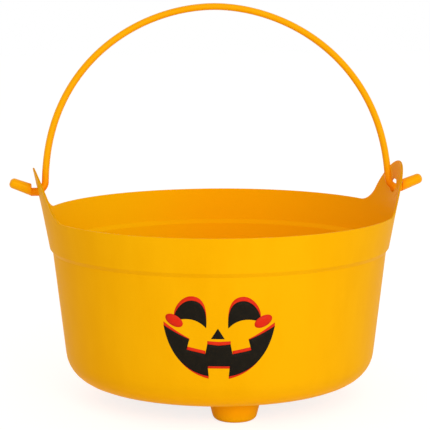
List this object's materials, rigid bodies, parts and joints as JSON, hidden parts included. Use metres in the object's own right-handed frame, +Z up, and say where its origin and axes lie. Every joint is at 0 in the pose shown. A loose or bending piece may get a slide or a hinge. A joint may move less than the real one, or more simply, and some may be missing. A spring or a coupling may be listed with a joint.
{
  "type": "pumpkin candy bowl",
  "caption": "Round thin-walled party bowl on moulded feet, with a swinging bail handle in two raised ears and a printed jack-o'-lantern face.",
  "frame": {"origin": "on the ground under the middle of the bowl", "axes": "+Z up, X through the two ears and the bail's pins, -Y towards the front foot and the printed face"},
  "size_m": [0.2729, 0.2298, 0.2579],
  "materials": {
    "orange_plastic": "satin to slightly glossy, moulded through",
    "black_ink": "printed ink, satin",
    "red_ink": "printed ink, satin"
  },
  "bodies": {
    "bowl": {"bowl": "orange_plastic", "left_eye_black": "black_ink", "left_eye_red": "red_ink", "left_cheek_red": "red_ink", "left_lip_red": "red_ink", "left_tooth_red": "red_ink", "left_jaw_red": "red_ink", "right_eye_black": "black_ink", "right_eye_red": "red_ink", "right_cheek_red": "red_ink", "right_lip_red": "red_ink", "right_tooth_red": "red_ink", "right_jaw_red": "red_ink", "nose_black": "black_ink", "mouth_black": "black_ink", "mouth_top_red": "red_ink", "mouth_gap_red": "red_ink"},
    "bail": {"bail_handle": "orange_plastic"}
  },
  "joints": [
    {"name": "bail_swing", "type": "hinge", "parent": "bowl", "child": "bail", "pos_m": [0, 0, 0.13754], "axis": [1, 0, 0], "range_deg": [-74, 98]}
  ]
}
